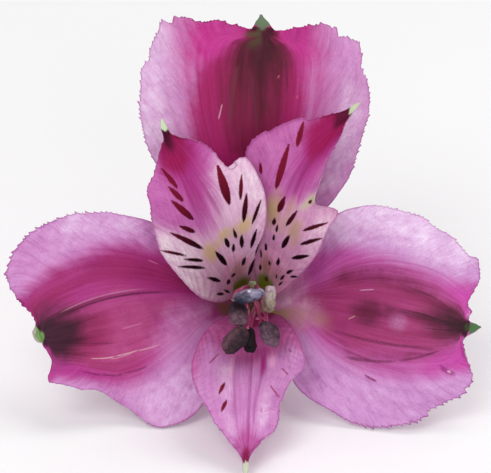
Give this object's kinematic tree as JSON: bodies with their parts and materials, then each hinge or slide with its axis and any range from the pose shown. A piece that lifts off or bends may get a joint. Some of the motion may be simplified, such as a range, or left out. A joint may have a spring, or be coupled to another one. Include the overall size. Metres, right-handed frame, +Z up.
{
  "type": "alstroemeria bloom",
  "caption": "Single open alstroemeria bloom, picked with its ovary and flower stalk, lying on its lower petals and stalk.",
  "frame": {"origin": "on the table, at the middle of the bloom's footprint", "axes": "+Z up; the bloom faces -Y and its axis rises 34 degrees towards -Y; the stalk runs back along +Y; +X is the bloom's right as a viewer sees it"},
  "size_m": [0.076, 0.1008, 0.058],
  "materials": {
    "outer_petal": "satin",
    "inner_petal": "satin",
    "lower_petal": "satin",
    "filament": "satin",
    "anther": "matte",
    "green_stalk": "satin"
  },
  "bodies": {
    "root": {"tepal_outer_top": "outer_petal", "tepal_outer_left": "outer_petal", "tepal_outer_right": "outer_petal", "tepal_inner_upper_left": "inner_petal", "tepal_inner_upper_right": "inner_petal", "tepal_inner_lower": "lower_petal", "filament_1": "filament", "filament_2": "filament", "filament_3": "filament", "filament_4": "filament", "filament_5": "filament", "filament_6": "filament", "anther_1": "anther", "anther_2": "anther", "anther_3": "anther", "anther_4": "anther", "anther_5": "anther", "anther_6": "anther", "style": "filament", "ovary": "green_stalk", "pedicel": "green_stalk"}
  },
  "joints": []
}
